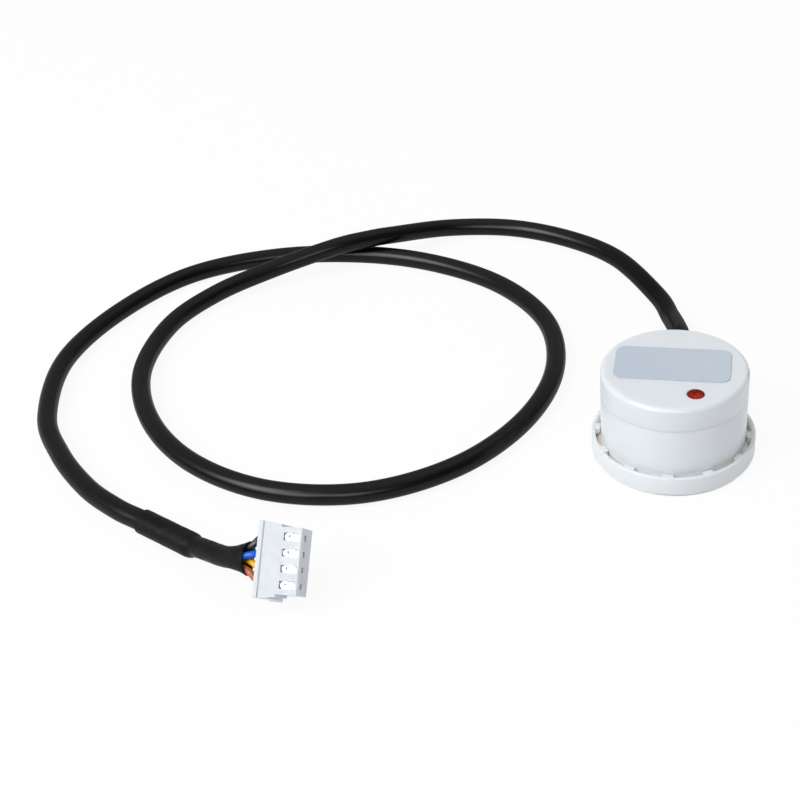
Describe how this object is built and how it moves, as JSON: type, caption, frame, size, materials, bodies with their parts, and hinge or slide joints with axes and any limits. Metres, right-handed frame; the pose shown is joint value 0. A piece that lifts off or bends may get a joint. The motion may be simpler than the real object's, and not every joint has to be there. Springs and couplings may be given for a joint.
{
  "type": "non-contact liquid level sensor",
  "caption": "Round white stick-on liquid level sensor head in a snap-in adhesive mounting ring, with a coiled black cable ending in a four-way crimp plug.",
  "frame": {"origin": "centre of the adhesive pad's underside, which is the face that sticks to a tank wall", "axes": "+Z out of the tank wall through the head's top face, +X along the long side of the label, +Y towards the side where the cable leaves the head"},
  "size_m": [0.1362, 0.1266, 0.0173],
  "materials": {
    "white_abs": "satin",
    "black_pvc": "satin",
    "shrink_tube": "matte",
    "white_nylon": "satin",
    "tinned_brass": "tinned",
    "black_rubber": "matte",
    "label_film": "satin",
    "red_lens": "gloss",
    "foam_tape": "matte",
    "green_board": "satin",
    "copper": "polished",
    "epoxy_resin": "gloss",
    "chip_black": "matte",
    "brown_ceramic": "matte",
    "aluminium_can": "satin",
    "wire_black": "satin",
    "wire_blue": "satin",
    "wire_yellow": "satin",
    "wire_brown": "satin"
  },
  "bodies": {
    "sensor": {"sensor_cup": "white_abs", "top_cover": "white_abs", "label_plate": "label_film", "status_led": "red_lens", "circuit_board": "green_board", "sensing_electrode": "copper", "potting_resin": "epoxy_resin", "touch_chip": "chip_black", "voltage_regulator": "chip_black", "output_transistor": "chip_black", "protection_diode": "chip_black", "led_resistor": "chip_black", "pull_up_resistor": "chip_black", "timing_resistor": "chip_black", "filter_capacitor": "brown_ceramic", "smoothing_capacitor": "aluminium_can", "cable_grommet": "black_rubber", "cable": "black_pvc", "lead_black": "wire_black", "lead_blue": "wire_blue", "lead_yellow": "wire_yellow", "lead_brown": "wire_brown", "heat_shrink": "shrink_tube", "wire_black": "wire_black", "wire_blue": "wire_blue", "wire_yellow": "wire_yellow", "wire_brown": "wire_brown", "connector_housing": "white_nylon", "terminal_1": "tinned_brass", "terminal_2": "tinned_brass", "terminal_3": "tinned_brass", "terminal_4": "tinned_brass"},
    "ring": {"mounting_ring": "white_abs", "adhesive_pad": "foam_tape"}
  },
  "joints": [
    {"name": "ring_turn", "type": "hinge", "parent": "sensor", "child": "ring", "pos_m": [0, 0, 0], "axis": [0, 0, 1], "continuous": true}
  ]
}
